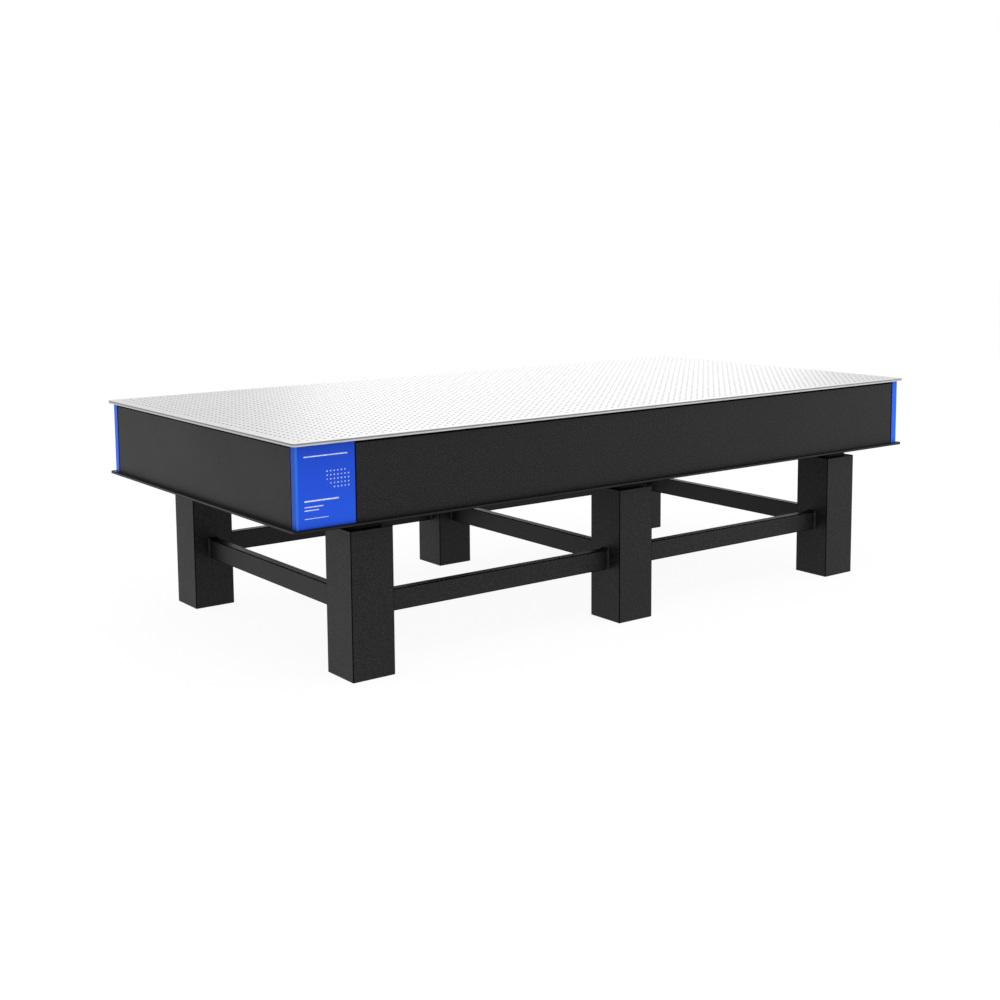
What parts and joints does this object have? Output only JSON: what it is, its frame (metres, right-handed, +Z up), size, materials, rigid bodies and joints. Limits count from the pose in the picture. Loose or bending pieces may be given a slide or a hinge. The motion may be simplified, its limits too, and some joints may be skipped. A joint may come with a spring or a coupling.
{
  "type": "optical table on a six-leg isolated frame",
  "caption": "Rectangular optical table: a deep flat top with a grid of tapped holes, carried by air-spring isolators on square legs joined by tie beams.",
  "frame": {"origin": "on the floor under the middle of the top", "axes": "+X along the table's length, +Y across it towards the back, +Z up"},
  "size_m": [2.4, 1.2, 0.668],
  "materials": {
    "stainless_top": "fine matt ground",
    "core_steel": "plain",
    "black_plate": "satin black paint",
    "black_powder": "fine textured black powder coat",
    "blue_trim": "smooth satin blue",
    "black_rubber": "matt"
  },
  "bodies": {
    "root": {"top_skin": "stainless_top", "honeycomb_core": "core_steel", "bottom_skin": "black_plate", "front_panel": "black_powder", "back_panel": "black_powder", "left_panel": "black_powder", "right_panel": "black_powder", "corner_cover_front_left": "blue_trim", "corner_trim_front_right": "blue_trim", "corner_trim_back_left": "blue_trim", "corner_trim_back_right": "blue_trim", "leg_front_left": "black_powder", "base_plate_front_left": "black_powder", "head_plate_front_left": "black_powder", "isolator_front_left": "black_rubber", "leg_front_middle": "black_powder", "base_plate_front_middle": "black_powder", "head_plate_front_middle": "black_powder", "isolator_front_middle": "black_rubber", "leg_front_right": "black_powder", "base_plate_front_right": "black_powder", "head_plate_front_right": "black_powder", "isolator_front_right": "black_rubber", "leg_back_left": "black_powder", "base_plate_back_left": "black_powder", "head_plate_back_left": "black_powder", "isolator_back_left": "black_rubber", "leg_back_middle": "black_powder", "base_plate_back_middle": "black_powder", "head_plate_back_middle": "black_powder", "isolator_back_middle": "black_rubber", "leg_back_right": "black_powder", "base_plate_back_right": "black_powder", "head_plate_back_right": "black_powder", "isolator_back_right": "black_rubber", "tie_beam_front_left": "black_powder", "tie_beam_front_right": "black_powder", "tie_beam_back_left": "black_powder", "tie_beam_back_right": "black_powder", "cross_beam_left": "black_powder", "cross_beam_middle": "black_powder", "cross_beam_right": "black_powder"}
  },
  "joints": []
}
